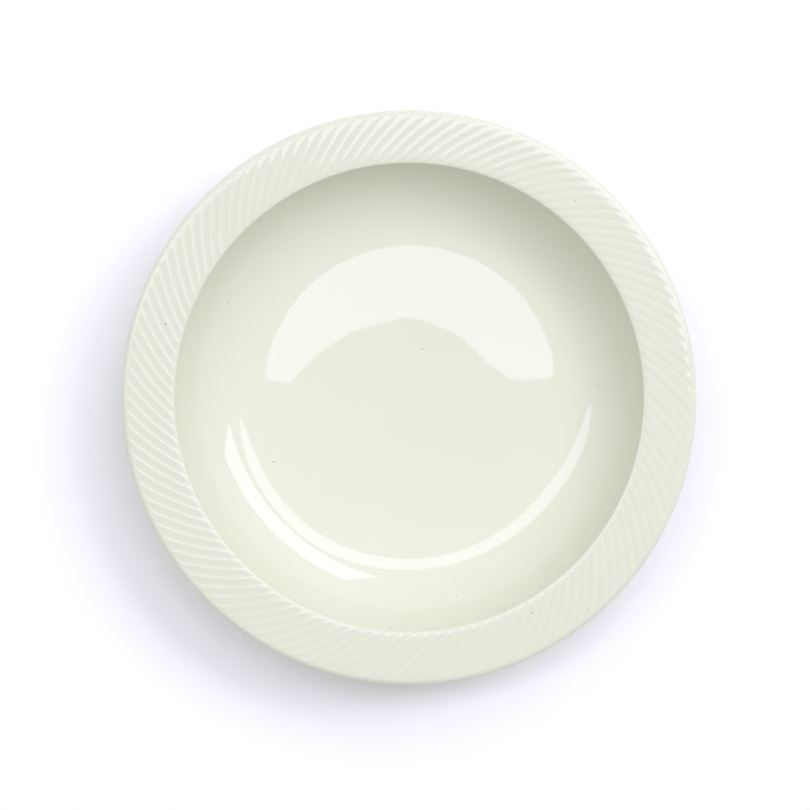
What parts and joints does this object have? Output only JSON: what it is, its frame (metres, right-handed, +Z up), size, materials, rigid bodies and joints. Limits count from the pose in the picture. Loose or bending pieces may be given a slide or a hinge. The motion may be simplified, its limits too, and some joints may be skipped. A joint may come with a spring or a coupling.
{
  "type": "round serving platter",
  "caption": "Round deep serving platter in pale cream glazed ceramic, with a dished well, a level rim of fine spiral flutes, a plain border and a foot ring.",
  "frame": {"origin": "on the axis of the plate, in the plane of the standing face of the foot ring", "axes": "+Z up along the axis of the plate, out of the well; the plate is round about it, with flutes every 3 degrees"},
  "size_m": [0.3, 0.3, 0.0418],
  "materials": {
    "bare_clay": "fired, unglazed, dry and slightly rough",
    "cream_glaze": "clear glossy glaze over pale cream, faintly green, with a few tiny dark specks"
  },
  "bodies": {
    "root": {"clay_body": "bare_clay", "glaze_coat": "cream_glaze", "base_glaze": "cream_glaze"}
  },
  "joints": []
}
